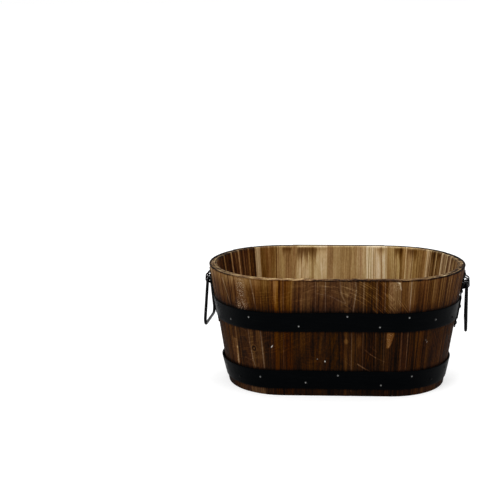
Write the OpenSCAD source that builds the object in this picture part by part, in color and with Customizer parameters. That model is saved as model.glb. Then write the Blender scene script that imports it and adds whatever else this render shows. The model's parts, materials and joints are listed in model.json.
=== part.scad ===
/* [Tub] */
// Height of the tub
tub_h = 200; // [170:5:260]
// Straight run of each long side
side_run = 170; // [120:5:260]
// Outer radius of the round ends at the rim
rim_r = 125; // [110:1:150]
// Outer radius of the round ends at the foot
foot_r = 94; // [84:1:105]
// Thickness of the staves
stave_t = 12.5; // [10.5:0.5:16]
// Gap at each joint between two staves
joint_gap = 0.3; // [0.1:0.1:0.8]
// Chamfer along both top edges of the rim
rim_chamfer = 1; // [0.4:0.2:3]

/* [Base] */
// Height of the base boards' underside above the ground
base_lift = 15; // [13:1:24]
// Thickness of the base boards
base_t = 12; // [9:1:18]
// Depth of the groove in the staves that holds the base
groove_d = 5; // [4:0.5:6]
// Clearance of the base boards in their groove
base_fit = 0.3; // [0.1:0.1:0.8]
// Gap between two base boards
board_gap = 0.6; // [0.2:0.2:2]
// Diameter of the drain holes
drain_d = 14; // [8:1:20]
// Distance between a batten and the outer drain hole's edge
drain_gap = 10; // [4:1:16]
// Width of the two battens under the base
batten_w = 26; // [20:1:36]
// Thickness of the battens
batten_t = 9; // [6:0.5:11]
// Distance between the middles of the two battens
batten_pitch = 112; // [100:2:120]
// Space between a batten's ends and the staves
batten_fit = 1.5; // [0.5:0.5:4]

/* [Hoops] */
// Width of both hoops
hoop_w = 32; // [24:1:38]
// Thickness of the hoop strip
hoop_t = 1.4; // [1:0.1:2.2]
// Clearance between a hoop and the staves
hoop_fit = 0.1; // [0.05:0.05:0.3]
// Distance from the rim down the wall to the upper hoop
upper_drop = 56; // [54:1:64]
// Distance from the foot up the wall to the lower hoop
lower_lift = 13; // [6:1:20]
// Length over which the two ends of a hoop lap
lap_len = 44; // [36:2:50]
// Distance between the two rivets of a lap
lap_pitch = 24; // [18:1:28]

/* [Handles] */
// Angle by which each handle sits round the end from the long axis
handle_turn = 6; // [0:1:6]
// Width of the strap
strap_w = 20; // [18:1:24]
// Thickness of the strap
strap_t = 2; // [1.5:0.1:2.6]
// Distance from the rim down the wall to the strap's top
strap_drop = 12; // [8:1:14]
// Length of the strap's tail below the upper hoop
strap_tail = 18; // [17:1:24]
// Length of the step where the strap passes over the hoop's edge
strap_step = 4; // [3:0.5:6]
// Clearance between the strap and what it lies on
strap_fit = 0.1; // [0.05:0.05:0.3]
// Distance from the rim down the wall to the pivot
pivot_drop = 32; // [30:1:34]
// Distance of the pivot from the wall
pivot_off = 7.5; // [7:0.5:12]
// Radius of the eyes' round tips
eye_r = 5; // [4.6:0.2:6]
// Thickness of each eye
eye_t = 3; // [2:0.5:4]
// Width of the metal round the eyes' windows
eye_rim = 2; // [1.5:0.1:2.4]
// Height of the middle of the eyes' crowns above the pivot
crown_up = 6.5; // [6:0.5:8]
// Distance by which the eyes' crowns stand nearer the wall than the pivot
crown_back = 1.5; // [0.5:0.5:2.5]
// Distance between the middles of the two eyes
eye_pitch = 16; // [14:0.5:16]
// Diameter of the bail's rod
rod_d = 5; // [4:0.5:6]
// Radial play of the bail in its eyes
pivot_play = 0.4; // [0.2:0.1:0.6]
// Space between the eyes and the bail's shoulders
shoulder_play = 1; // [0.5:0.5:3]
// Drop of the bail from its pivot to the middle of the grip
bail_drop = 70; // [58:1:80]
// Width of the bail at the grip, between rod middles
bail_w = 78; // [64:2:100]
// Bend radius at the bail's shoulders
shoulder_bend = 5; // [4:0.5:7]
// Bend radius at the grip's corners
grip_bend = 9; // [6:0.5:14]

/* [Fasteners] */
// Radius of the hoop nails' heads
nail_head_r = 2.2; // [1.8:0.1:3]
// Height of the hoop nails' heads
nail_head_h = 1.2; // [0.8:0.1:1.8]
// Radius of the hoop nails' shanks
nail_r = 0.9; // [0.7:0.05:1.2]
// Length of the hoop nails under the head
nail_len = 10; // [7:0.5:11]
// Radius of the rivets' heads
rivet_head_r = 3.6; // [3:0.1:4.5]
// Height of the rivets' heads
rivet_head_h = 1.8; // [1.2:0.1:2.4]
// Radius of the rivets' shanks
rivet_r = 1.8; // [1.4:0.1:2.2]
// Radius of the strap screws' heads
screw_head_r = 3.3; // [2.8:0.1:4]
// Height of the strap screws' heads
screw_head_h = 2.2; // [1.6:0.1:2.8]
// Radius of the strap screws' shanks
screw_r = 1.9; // [1.4:0.1:2.2]
// Length of the strap screws under the head
screw_len = 11; // [9:0.5:12]
// Radius of the batten nails' heads
tack_head_r = 3; // [2.4:0.1:4]
// Height of the batten nails' heads
tack_head_h = 1; // [0.6:0.1:1.6]
// Radius of the batten nails' shanks
tack_r = 1.2; // [0.9:0.1:1.5]
// Length of the batten nails in the base boards
tack_bite = 8; // [5:0.5:8.5]
// Clearance round every shank and under every head
pin_fit = 0.05; // [0.02:0.01:0.1]

/* [Hidden] */
$fn = 96;
pin_fn = 24;
// Widths of the staves round half the rim, from the left end of the front side to the
// right end of the back side: boards of random width, which are scaled to fill the rim.
// The other half is the same, turned half round.
stave_widths = [52, 55, 53, 25, 49, 40, 61, 54, 55, 63, 56];
strap_stave = 7;
// Hoop nails of half the rim: which stave, how far across it, how far up the hoop.
upper_nails = [
    [0, 0.48, 0.30], [1, 0.89, 0.84], [2, 0.85, 0.28], [4, 0.30, 0.78], [5, 0.44, 0.50],
    [6, 0.50, 0.27], [8, 0.45, 0.72], [9, 0.26, 0.32], [9, 0.93, 0.66]
];
lower_nails = [
    [0, 0.69, 0.37], [1, 0.64, 0.78], [2, 0.92, 0.26], [4, 0.58, 0.72], [5, 0.72, 0.35],
    [6, 0.66, 0.66], [7, 0.56, 0.38], [8, 0.55, 0.70], [9, 0.32, 0.33], [10, 0.17, 0.60]
];
// How far the rods run into the bends, and how much thicker a bend is all round
bend_lap = 0.5;
bend_swell = 0.08;
// Where the laps sit along the back side
upper_lap_at = -14;
lower_lap_at = 40;

lean = atan2(rim_r - foot_r, tub_h);
wall_len = tub_h / cos(lean);
half_run = side_run / 2;
half_rim = side_run + PI * rim_r;
half_count = len(stave_widths);
hoop_skin = hoop_fit + hoop_t;
upper_low = wall_len - upper_drop - hoop_w;
pivot_up = wall_len - pivot_drop;
wood = ["#7d5436", "#8c6140", "#6b4630", "#94704c", "#80583a"];
steel = "#1d1c1b";
zinc = "#b9b8b4";

// Sum of the first n numbers of a list
function sum(list, n) = n <= 0 ? 0 : list[n - 1] + sum(list, n - 1);
// Distance along the rim of joint k, from the middle of the front side
function joint_at(k) = -half_run + half_rim * sum(stave_widths, k) / sum(stave_widths, half_count);
// Angle round the right end for a distance along the rim
function end_angle(s) = (s - half_run) / rim_r * 180 / PI;
// Outer and inner radius of the wall at a height
function out_r(z) = foot_r + (rim_r - foot_r) * z / tub_h;
function in_r(z) = out_r(z) - stave_t / cos(lean);
// Radius and height of a point n outside the wall and u up along it
function on_wall(n, u) = [foot_r + n * cos(lean) + u * sin(lean), u * cos(lean) - n * sin(lean)];
// Section of a strip from n0 to n1 off the wall, and from u0 to u1 up it
function strip(n0, n1, u0, u1) = [on_wall(n0, u0), on_wall(n1, u0), on_wall(n1, u1), on_wall(n0, u1)];
// A nail's place along the rim and up the wall
function nail_s(nail) = joint_at(nail[0]) + nail[1] * (joint_at(nail[0] + 1) - joint_at(nail[0]));
function nail_u(nail, hoop_low) = hoop_low + nail[2] * hoop_w;

// Carries a section along the front side, from x0 to x1
module side_bar(section, x0, x1) {
    translate([x1, 0, 0])
        rotate([90, 0, -90])
            linear_extrude(x1 - x0) polygon(section);
}

// Carries a section round the right end, from angle a0 to a1
module end_bar(section, a0, a1) {
    translate([half_run, 0, 0])
        rotate([0, 0, a0 - 90])
            rotate_extrude(angle = a1 - a0) polygon(section);
}

// Carries a section along half the rim, from s0 to s1
module band(section, s0, s1) {
    if (s0 < half_run) side_bar(section, s0, min(s1, half_run));
    if (s1 > half_run) end_bar(section, max(0, end_angle(s0)), end_angle(s1));
}

// Sets what follows on the wall: +X out of it, +Z up along it
module at_wall(s, u) {
    if (s < half_run)
        translate([s, 0, 0]) rotate([0, 0, -90]) up_wall(u) children();
    else
        translate([half_run, 0, 0]) rotate([0, 0, end_angle(s) - 90]) up_wall(u) children();
}

module up_wall(u) {
    translate([foot_r, 0, 0]) rotate([0, lean, 0]) translate([0, 0, u]) children();
}

// Sets what follows on one handle's stave: side 0 is the right end, side 1 the left
module at_handle(side) {
    rotate([0, 0, 180 * side])
        translate([half_run, 0, 0]) rotate([0, 0, -handle_turn]) children();
}

// A domed head on a shank: +X is out, and the head stands on x = 0
module pin(head_r, head_h, shank_r, shank_len) {
    rotate([0, 90, 0])
        rotate_extrude($fn = pin_fn)
            polygon([
                [0, -shank_len], [shank_r, -shank_len], [shank_r, 0], [head_r, 0],
                [head_r, 0.35 * head_h], [0.72 * head_r, 0.8 * head_h], [0, head_h]
            ]);
}

// The hole for a pin's shank, from depth to past the surface
module pin_hole(shank_r, depth, past) {
    translate([-depth, 0, 0])
        rotate([0, 90, 0]) cylinder(r = shank_r + pin_fit, h = depth + past, $fn = pin_fn);
}

// Radius of the base boards' round ends
base_r = in_r(base_lift) + groove_d - base_fit;

// Section of a stave: leaning wall, chamfered rim, groove for the base
stave_section = [
    [in_r(0), 0], [out_r(0), 0],
    [out_r(tub_h - rim_chamfer), tub_h - rim_chamfer], [out_r(tub_h) - rim_chamfer, tub_h],
    [in_r(tub_h) + rim_chamfer, tub_h], [in_r(tub_h - rim_chamfer), tub_h - rim_chamfer],
    [in_r(base_lift + base_t + base_fit), base_lift + base_t + base_fit],
    [in_r(base_lift) + groove_d, base_lift + base_t + base_fit],
    [in_r(base_lift) + groove_d, base_lift - base_fit],
    [in_r(base_lift - base_fit), base_lift - base_fit]
];

// Holes of one hoop's nails that fall in stave k
module nail_holes(nails, hoop_low, k) {
    for (nail = nails)
        if (nail[0] == k)
            at_wall(nail_s(nail), nail_u(nail, hoop_low))
                pin_hole(nail_r, nail_len - hoop_skin, 1);
}

module stave(i) {
    half = floor(i / half_count);
    k = i % half_count;
    color(wood[(3 * k + half) % len(wood)])
        difference() {
            rotate([0, 0, 180 * half])
                difference() {
                    band(stave_section, joint_at(k) + joint_gap / 2, joint_at(k + 1) - joint_gap / 2);
                    nail_holes(upper_nails, upper_low, k);
                    nail_holes(lower_nails, lower_lift, k);
                }
            if (k == strap_stave)
                at_handle(half) strap_screw_holes(1);
        }
}

// The oval plate that the base boards are cut from
module base_plate() {
    section = [[0, base_lift], [base_r, base_lift], [base_r, base_lift + base_t], [0, base_lift + base_t]];
    for (half = [0, 180])
        rotate([0, 0, half]) {
            side_bar(section, -half_run, half_run);
            end_bar(section, 0, 180);
        }
}

module base_board(i) {
    width = 2 * base_r / 3;
    long = side_run + 2 * base_r;
    drain_x = batten_pitch / 2 + batten_w / 2 + drain_gap + drain_d / 2;
    color(wood[3])
        difference() {
            intersection() {
                base_plate();
                translate([-long / 2, (i - 1.5) * width + (i == 0 ? 0 : board_gap / 2), 0])
                    cube([long, width - (i == 1 ? board_gap : board_gap / 2), tub_h]);
            }
            if (i == 1)
                for (x = [-drain_x, 0, drain_x])
                    translate([x, 0, 0]) cylinder(d = drain_d, h = tub_h);
            tack_holes();
        }
}

// Places of the nails that hold the boards to the battens: two to a board on each batten
module at_tacks() {
    width = 2 * base_r / 3;
    for (x = [-batten_pitch / 2, batten_pitch / 2])
        for (j = [-1, 0, 1])
            for (side = [-1, 1])
                translate([x + side * batten_w / 5, j * width + side * width / 4.5, base_lift - batten_t])
                    children();
}

module tack_holes() {
    at_tacks()
        translate([0, 0, -1])
            cylinder(r = tack_r + pin_fit, h = batten_t + tack_bite + 1.5, $fn = pin_fn);
}

module batten(side) {
    reach = in_r(base_lift - batten_t) - batten_fit;
    color(wood[1])
        difference() {
            translate([side * batten_pitch / 2 - batten_w / 2, -reach, base_lift - batten_t])
                cube([batten_w, 2 * reach, batten_t]);
            tack_holes();
        }
}

module batten_nails() {
    color(zinc)
        at_tacks()
            translate([0, 0, -pin_fit])
                rotate([0, 90, 0]) pin(tack_head_r, tack_head_h, tack_r, batten_t + tack_bite);
}

// A hoop: one strip bent round the tub, its ends lapped and riveted at the back
module hoop(low, nails, lap_at, strap_hole) {
    section = strip(hoop_fit, hoop_skin, low, low + hoop_w);
    outer = strip(hoop_skin, hoop_skin + hoop_t, low, low + hoop_w);
    color(steel)
        difference() {
            for (half = [0, 180])
                rotate([0, 0, half]) {
                    side_bar(section, -half_run, half_run);
                    end_bar(section, 0, 180);
                    if (half == 180) side_bar(outer, lap_at - lap_len / 2, lap_at + lap_len / 2);
                }
            for (half = [0, 180])
                rotate([0, 0, half])
                    for (nail = nails)
                        at_wall(nail_s(nail), nail_u(nail, low)) pin_hole(nail_r, 1, 2 * hoop_skin);
            rotate([0, 0, 180])
                for (side = [-1, 1])
                    at_wall(lap_at + side * lap_pitch / 2, low + hoop_w / 2)
                        pin_hole(rivet_r, 1, 3 * hoop_skin);
            if (strap_hole)
                for (side = [0, 1])
                    at_handle(side) strap_screw_holes(1);
        }
}

module hoop_nails(low, nails) {
    color(zinc)
        for (half = [0, 180])
            rotate([0, 0, half])
                for (nail = nails)
                    at_wall(nail_s(nail), nail_u(nail, low))
                        translate([hoop_skin + pin_fit, 0, 0])
                            pin(nail_head_r, nail_head_h, nail_r, nail_len);
}

module lap_rivets(low, lap_at) {
    color(steel)
        rotate([0, 0, 180])
            for (side = [-1, 1])
                at_wall(lap_at + side * lap_pitch / 2, low + hoop_w / 2)
                    translate([hoop_skin + hoop_t + pin_fit, 0, 0])
                        pin(rivet_head_r, rivet_head_h, rivet_r, 2 * hoop_t);
}

// Places up the wall of the strap's screws, and how far out of the wall their heads sit
strap_high = wall_len - strap_drop;
strap_low = upper_low - strap_tail;
over_hoop = hoop_skin + strap_fit;
crown_slope = 75;
strap_screws = [
    [strap_high - 6, strap_fit + strap_t],
    [upper_low + hoop_w + strap_step + 1 + screw_head_r + 1, strap_fit + strap_t],
    [upper_low + hoop_w / 2, over_hoop + strap_t],
    [strap_low + 2 + screw_head_r, strap_fit + strap_t]
];

module strap_screw_holes(past) {
    for (screw = strap_screws)
        up_wall(screw[0])
            translate([screw[1], 0, 0]) pin_hole(screw_r, screw_len, past);
}

// The strap steps out over the hoop, and its two eyes stand out to carry the bail
module strap(side) {
    step_high = upper_low + hoop_w + 1;
    step_low = upper_low - 1;
    back = [
        [strap_fit, strap_high], [strap_fit, step_high + strap_step], [over_hoop, step_high],
        [over_hoop, step_low], [strap_fit, step_low - strap_step], [strap_fit, strap_low]
    ];
    face = [for (i = [len(back) - 1 : -1 : 0]) back[i] + [strap_t, 0]];
    root = strap_fit + strap_t / 2;
    pivot = [pivot_off, pivot_up];
    crown = pivot + [-crown_back, crown_up];
    window_r = rod_d / 2 + pivot_play + eye_rim;
    eye = concat(
        [arc_exit(crown, eye_r, crown_slope, root)],
        [for (a = [crown_slope : -15 : 0]) crown + eye_r * [cos(a), sin(a)]],
        [for (a = [0 : -15 : -75]) pivot + eye_r * [cos(a), sin(a)]],
        [[root, pivot_up - 1.8 * eye_r]]
    );
    // The window lies between the pivot's ring and the crown, and ends inside the strap's plate
    window = concat(
        [arc_exit(crown, eye_r - eye_rim, crown_slope, root)],
        [for (a = [crown_slope : -15 : 0]) crown + (eye_r - eye_rim) * [cos(a), sin(a)]],
        [for (a = [75 : 15 : 150]) pivot + window_r * [cos(a), sin(a)]],
        [[root, pivot_up + window_r * sin(150)]]
    );
    color(steel)
        at_handle(side)
            difference() {
                union() {
                    strap_plate(concat(back, face), strap_w);
                    for (y = [-eye_pitch / 2, eye_pitch / 2])
                        translate([0, y, 0])
                            difference() {
                                strap_plate(eye, eye_t);
                                strap_plate(window, eye_t + 1);
                            }
                }
                strap_screw_holes(screw_head_h);
                up_wall(pivot_up)
                    translate([pivot_off, 0, 0])
                        rotate([90, 0, 0])
                            cylinder(r = rod_d / 2 + pivot_play, h = 2 * strap_w, center = true);
            }
}

// Where the tangent of an arc at an angle, run on towards the wall, comes to a distance off it
function arc_exit(centre, r, a, off) =
    let (start = centre + r * [cos(a), sin(a)])
        [off, start[1] + (start[0] - off) * cos(a) / sin(a)];

// A plate cut to an outline that is given off and up the wall, centred across the handle
module strap_plate(outline, width) {
    translate([0, width / 2, 0])
        rotate([90, 0, 0])
            linear_extrude(width) polygon([for (p = outline) on_wall(p[0], p[1])]);
}

module strap_screw_set(side) {
    color(steel)
        at_handle(side)
            for (screw = strap_screws)
                up_wall(screw[0])
                    translate([screw[1] + pin_fit, 0, 0])
                        pin(screw_head_r, screw_head_h, screw_r, screw_len);
}

// A straight length of rod in the bail's plane, from p to q, run on a little into the bends
module rod(p, q) {
    d = q - p;
    translate([0, p[0], p[1]])
        rotate([atan2(d[1], d[0]), 0, 0])
            rotate([-90, 0, 0])
                translate([0, 0, -bend_lap]) cylinder(d = rod_d, h = norm(d) + 2 * bend_lap);
}

// A bend of the rod about a centre, from angle a0 to a1: a trace thicker than the rod
module bend(centre, bend_r, a0, a1) {
    translate([0, centre[0], centre[1]])
        rotate([90, 0, 90])
            rotate([0, 0, a0])
                rotate_extrude(angle = a1 - a0)
                    translate([bend_r, 0]) circle(r = rod_d / 2 + bend_swell);
}

// The bail: a closed loop of rod, narrow where it turns in the eyes and wide at the grip
module bail(side) {
    shoulder_y = eye_pitch / 2 + eye_t / 2 + shoulder_play;
    corner_y = bail_w / 2;
    // The leg is the common tangent of the shoulder's and the grip corner's bends
    shoulder = [shoulder_y, -shoulder_bend];
    corner = [corner_y - grip_bend, grip_bend - bail_drop];
    reach = corner - shoulder;
    turn = atan2(-reach[1], reach[0]) - asin((grip_bend - shoulder_bend) / norm(reach));
    normal = [sin(turn), cos(turn)];
    leg_top = shoulder + shoulder_bend * normal;
    leg_end = corner + grip_bend * normal;
    pivot = on_wall(pivot_off, pivot_up);
    color(steel)
        at_handle(side)
            translate([pivot[0], 0, pivot[1]]) {
                rod([-shoulder_y, 0], [shoulder_y, 0]);
                rod([-corner[0], -bail_drop], [corner[0], -bail_drop]);
                for (flip = [0, 1])
                    mirror([0, flip, 0]) {
                        bend(shoulder, shoulder_bend, 90 - turn, 90);
                        rod(leg_top, leg_end);
                        bend(corner, grip_bend, -90, 90 - turn);
                    }
            }
}

stave(0);  // stave_01
stave(1);  // stave_02
stave(2);  // stave_03
stave(3);  // stave_04
stave(4);  // stave_05
stave(5);  // stave_06
stave(6);  // stave_07
stave(7);  // stave_08
stave(8);  // stave_09
stave(9);  // stave_10
stave(10);  // stave_11
stave(11);  // stave_12
stave(12);  // stave_13
stave(13);  // stave_14
stave(14);  // stave_15
stave(15);  // stave_16
stave(16);  // stave_17
stave(17);  // stave_18
stave(18);  // stave_19
stave(19);  // stave_20
stave(20);  // stave_21
stave(21);  // stave_22
base_board(0);  // base_board_front
base_board(1);  // base_board_middle
base_board(2);  // base_board_back
batten(-1);  // batten_left
batten(1);  // batten_right
batten_nails();
hoop(upper_low, upper_nails, upper_lap_at, true);  // upper_hoop
hoop_nails(upper_low, upper_nails);  // upper_hoop_nails
lap_rivets(upper_low, upper_lap_at);  // upper_lap_rivets
hoop(lower_lift, lower_nails, lower_lap_at, false);  // lower_hoop
hoop_nails(lower_lift, lower_nails);  // lower_hoop_nails
lap_rivets(lower_lift, lower_lap_at);  // lower_lap_rivets
strap(1);  // strap_left
strap_screw_set(1);  // strap_screws_left
bail(1);  // bail_left
strap(0);  // strap_right
strap_screw_set(0);  // strap_screws_right
bail(0);  // bail_right
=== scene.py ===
import json
import math
from functools import partial
from types import SimpleNamespace
import bmesh
import bpy
import numpy as np
from mathutils import Matrix, Vector

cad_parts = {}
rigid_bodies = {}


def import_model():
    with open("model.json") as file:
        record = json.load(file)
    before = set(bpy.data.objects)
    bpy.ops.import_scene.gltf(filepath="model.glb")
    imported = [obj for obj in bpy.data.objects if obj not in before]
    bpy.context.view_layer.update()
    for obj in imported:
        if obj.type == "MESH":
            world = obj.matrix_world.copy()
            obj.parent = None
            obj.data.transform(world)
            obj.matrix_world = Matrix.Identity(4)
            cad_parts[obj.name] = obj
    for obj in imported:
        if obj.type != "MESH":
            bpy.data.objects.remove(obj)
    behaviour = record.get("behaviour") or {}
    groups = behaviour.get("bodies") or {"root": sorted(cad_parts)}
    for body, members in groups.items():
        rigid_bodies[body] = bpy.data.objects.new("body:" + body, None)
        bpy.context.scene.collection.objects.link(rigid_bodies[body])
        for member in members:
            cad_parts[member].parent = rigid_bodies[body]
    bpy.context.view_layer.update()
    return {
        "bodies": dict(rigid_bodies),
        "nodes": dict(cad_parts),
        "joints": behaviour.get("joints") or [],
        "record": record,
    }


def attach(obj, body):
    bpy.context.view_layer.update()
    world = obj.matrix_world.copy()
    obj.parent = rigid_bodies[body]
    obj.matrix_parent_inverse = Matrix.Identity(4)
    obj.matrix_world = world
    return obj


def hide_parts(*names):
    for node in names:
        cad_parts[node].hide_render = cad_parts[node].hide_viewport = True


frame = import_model()
mm = 0.001
print("frame loaded with", len(frame["nodes"]), "nodes")

# The tub's driving sizes, in metres and degrees
tub = {
    "height": 200 * mm,
    "straightRun": 170 * mm,  # straight stretch of each long side
    "rimRadius": 125 * mm,
    "footRadius": 94 * mm,
    "staveThickness": 12.5 * mm,
    "staveWidths": [52, 55, 53, 25, 49, 40, 61, 54, 55, 63, 56],  # shares of half the rim
    "baseLift": 15 * mm,
    "baseThickness": 12 * mm,
    "grooveDepth": 5 * mm,
    "handleTurn": 6.0,
}
lean = math.atan2(tub["rimRadius"] - tub["footRadius"], tub["height"])
wallLength = tub["height"] / math.cos(lean)
halfRun = tub["straightRun"] / 2
halfRim = tub["straightRun"] + math.pi * tub["rimRadius"]


def linear(hexColour):
    # sRGB hex to linear: divide by 12.92 near black, otherwise ((c + 0.055) / 1.055) to the power 2.4
    values = [int(hexColour[i:i + 2], 16) / 255 for i in (1, 3, 5)]
    return tuple(c / 12.92 if c <= 0.04045 else ((c + 0.055) / 1.055) ** 2.4 for c in values) + (1.0,)


def addNode(tree, kind, *inputs, **settings):
    # The inputs fill the sockets in order, or by name or number from one dictionary; a node among
    # them links its first output, and (node, output) another one
    node = tree.nodes.new("ShaderNode" + kind)
    for key, value in settings.items():
        setattr(node, key, value)
    sockets = inputs[0] if inputs and isinstance(inputs[0], dict) else dict(enumerate(inputs))
    for key, value in sockets.items():
        source = value if isinstance(value, tuple) and hasattr(value[0], "outputs") else (value, 0)
        if hasattr(source[0], "outputs"):
            tree.links.new(source[0].outputs[source[1]], node.inputs[key])
        else:
            node.inputs[key].default_value = value
    return node


def newMaterial(name):
    # The material, and addNode for its tree
    material = bpy.data.materials.new(name)
    material.use_nodes = True
    material.node_tree.nodes.clear()
    return material, partial(addNode, material.node_tree)


def addUp(add, start, *parts):
    # start and each part times its share, added up
    for part, share in parts:
        start = add("Math", part, share, start, operation="MULTIPLY_ADD")
    return start


def setRamp(node, stops):
    # stops is a list of (position, hex colour); the ramp starts with two elements
    elements = node.color_ramp.elements
    while len(elements) < len(stops):
        elements.new(0.5)
    for element, (position, hexColour) in zip(elements, stops):
        element.position = position
        element.color = linear(hexColour)


# Camera: place and angles that give the photograph's perspective of the tub
cameraSettings = {
    "place": (-0.0269, -1.9061, 0.6569),
    "heading": 3.469,  # degrees, turned to the left of straight ahead
    "downward": 12.933,
    "roll": -0.512,
    "lens": 85.55,
    "sensor": 36.0,
}


def makeCamera(settings):
    data = bpy.data.cameras.new("camera")
    data.lens = settings["lens"]
    data.sensor_width = settings["sensor"]
    data.clip_end = 200
    camera = bpy.data.objects.new("camera", data)
    turn = (
        Matrix.Rotation(math.radians(settings["heading"]), 4, "Z")
        @ Matrix.Rotation(math.radians(90 - settings["downward"]), 4, "X")
        @ Matrix.Rotation(math.radians(settings["roll"]), 4, "Z")
    )
    camera.matrix_world = Matrix.Translation(settings["place"]) @ turn
    bpy.context.scene.collection.objects.link(camera)
    bpy.context.scene.camera = camera


makeCamera(cameraSettings)
bpy.context.scene.view_settings.view_transform = "Standard"
print("camera placed")


def gridFaces(rows, columns, closeRows=False, closeColumns=False):
    # Quads of a grid of points: each joins a point to the next in its row and in the next row
    r = np.arange(rows if closeRows else rows - 1)
    c = np.arange(columns if closeColumns else columns - 1)
    r, c = np.meshgrid(r, c, indexing="ij")
    nextR, nextC = (r + 1) % rows, (c + 1) % columns
    corners = [r * columns + c, nextR * columns + c, nextR * columns + nextC, r * columns + nextC]
    return np.stack(corners, axis=-1).reshape(-1, 4)


def makePiece(name, points, quads, material, caps=(), attributes=None):
    # One mesh from an array of points, an array of quads and a few many-sided caps
    mesh = bpy.data.meshes.new(name)
    loops = np.concatenate([quads.ravel()] + [np.asarray(cap) for cap in caps]).astype(np.int32)
    sizes = np.array([4] * len(quads) + [len(cap) for cap in caps], np.int32)
    starts = np.concatenate([[0], np.cumsum(sizes)[:-1]]).astype(np.int32)
    mesh.vertices.add(len(points))
    mesh.vertices.foreach_set("co", np.ascontiguousarray(points, np.float32).ravel())
    mesh.loops.add(len(loops))
    mesh.loops.foreach_set("vertex_index", loops)
    mesh.polygons.add(len(sizes))
    mesh.polygons.foreach_set("loop_start", starts)
    mesh.polygons.foreach_set("use_smooth", np.ones(len(sizes), bool))
    for key, values in (attributes or {}).items():
        layer = mesh.attributes.new(key, "FLOAT_VECTOR", "POINT")
        layer.data.foreach_set("vector", np.ascontiguousarray(values, np.float32).ravel())
    mesh.update(calc_edges=True)
    mesh.validate()
    piece = bpy.data.objects.new(name, mesh)
    piece.data.materials.append(material)
    bpy.context.scene.collection.objects.link(piece)
    return piece


def roundedOutline(corners, radii, steps, arcSteps=4):
    # A closed outline: each corner becomes an arc that touches both of its sides, and each side is
    # cut into lengths no longer than its step
    corners = np.asarray(corners, float)
    count = len(corners)
    arcs = []
    for i in range(count):
        before, here, after = corners[i - 1], corners[i], corners[(i + 1) % count]
        a = (before - here) / np.linalg.norm(before - here)
        b = (after - here) / np.linalg.norm(after - here)
        half = math.acos(np.clip(a @ b, -1, 1)) / 2
        radius = radii[i]
        if radius == 0 or half > math.pi / 2 - 0.02:
            arcs.append(here[None])
            continue
        middle = here + (a + b) / np.linalg.norm(a + b) * radius / math.sin(half)
        first = here + a * radius / math.tan(half) - middle
        last = here + b * radius / math.tan(half) - middle
        sweep = math.atan2(first[0] * last[1] - first[1] * last[0], first @ last)
        angle = np.linspace(0, sweep, arcSteps + 1)[:, None]
        across = np.array([-first[1], first[0]])
        arcs.append(middle + first * np.cos(angle) + across * np.sin(angle))
    points = []
    for i in range(count):
        points.append(arcs[i])
        start, end = arcs[i][-1], arcs[(i + 1) % count][0]
        pieces = max(1, int(math.ceil(np.linalg.norm(end - start) / steps[i])))
        points.append(start + (end - start) * (np.arange(1, pieces) / pieces)[:, None])
    return np.concatenate(points)


def outlineNormals(outline):
    # Outward normals of an outline that runs counterclockwise: the mean of both sides' directions, turned
    along = np.roll(outline, -1, axis=0) - outline
    along /= np.linalg.norm(along, axis=1)[:, None]
    mean = along + np.roll(along, 1, axis=0)
    mean /= np.linalg.norm(mean, axis=1)[:, None]
    return np.stack([mean[:, 1], -mean[:, 0]], axis=1)


def roundTheOval(s, radius, height):
    # Point of the oval for a distance s along the rim from the middle of the front side: straight
    # along the front, then round the right end at an angle of (s - halfRun) / rimRadius
    angle = np.clip((s - halfRun) / tub["rimRadius"], 0, math.pi)
    x = np.minimum(s, halfRun) + radius * np.sin(angle)
    y = -radius * np.cos(angle)
    return np.stack(np.broadcast_arrays(x, y, height), axis=-1)


def outerRadius(height):
    return tub["footRadius"] + (tub["rimRadius"] - tub["footRadius"]) * height / tub["height"]


def offWall(n, u):
    # Radius and height of a point n outside the wall and u up along it
    return (
        tub["footRadius"] + n * math.cos(lean) + u * math.sin(lean),
        u * math.cos(lean) - n * math.sin(lean),
    )


def waves(x, y, seed, scaleX, scaleY, count=9):
    # Smooth noise of about -1 to 1: a sum of cosine waves in seeded directions and phases
    rng = np.random.default_rng(seed)
    total = np.zeros(np.broadcast(x, y).shape)
    for _ in range(count):
        turn, phase, size = rng.uniform(0, math.tau), rng.uniform(0, math.tau), rng.uniform(0.6, 1.6)
        total += np.cos(size * (np.cos(turn) * x / scaleX + np.sin(turn) * y / scaleY) * math.tau + phase)
    return total / math.sqrt(count)


def ease(x, low, high):
    # Smooth step: 0 up to low, 1 from high on
    share = np.clip((x - low) / (high - low), 0, 1)
    return share * share * (3 - 2 * share)


def between(x, low, lowFull, highFull, high):
    # Smooth band: 0 up to low, 1 from lowFull to highFull, 0 from high on
    return ease(x, low, lowFull) * (1 - ease(x, highFull, high))


def blend(first, second, share):
    return first + (second - first) * share


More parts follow.
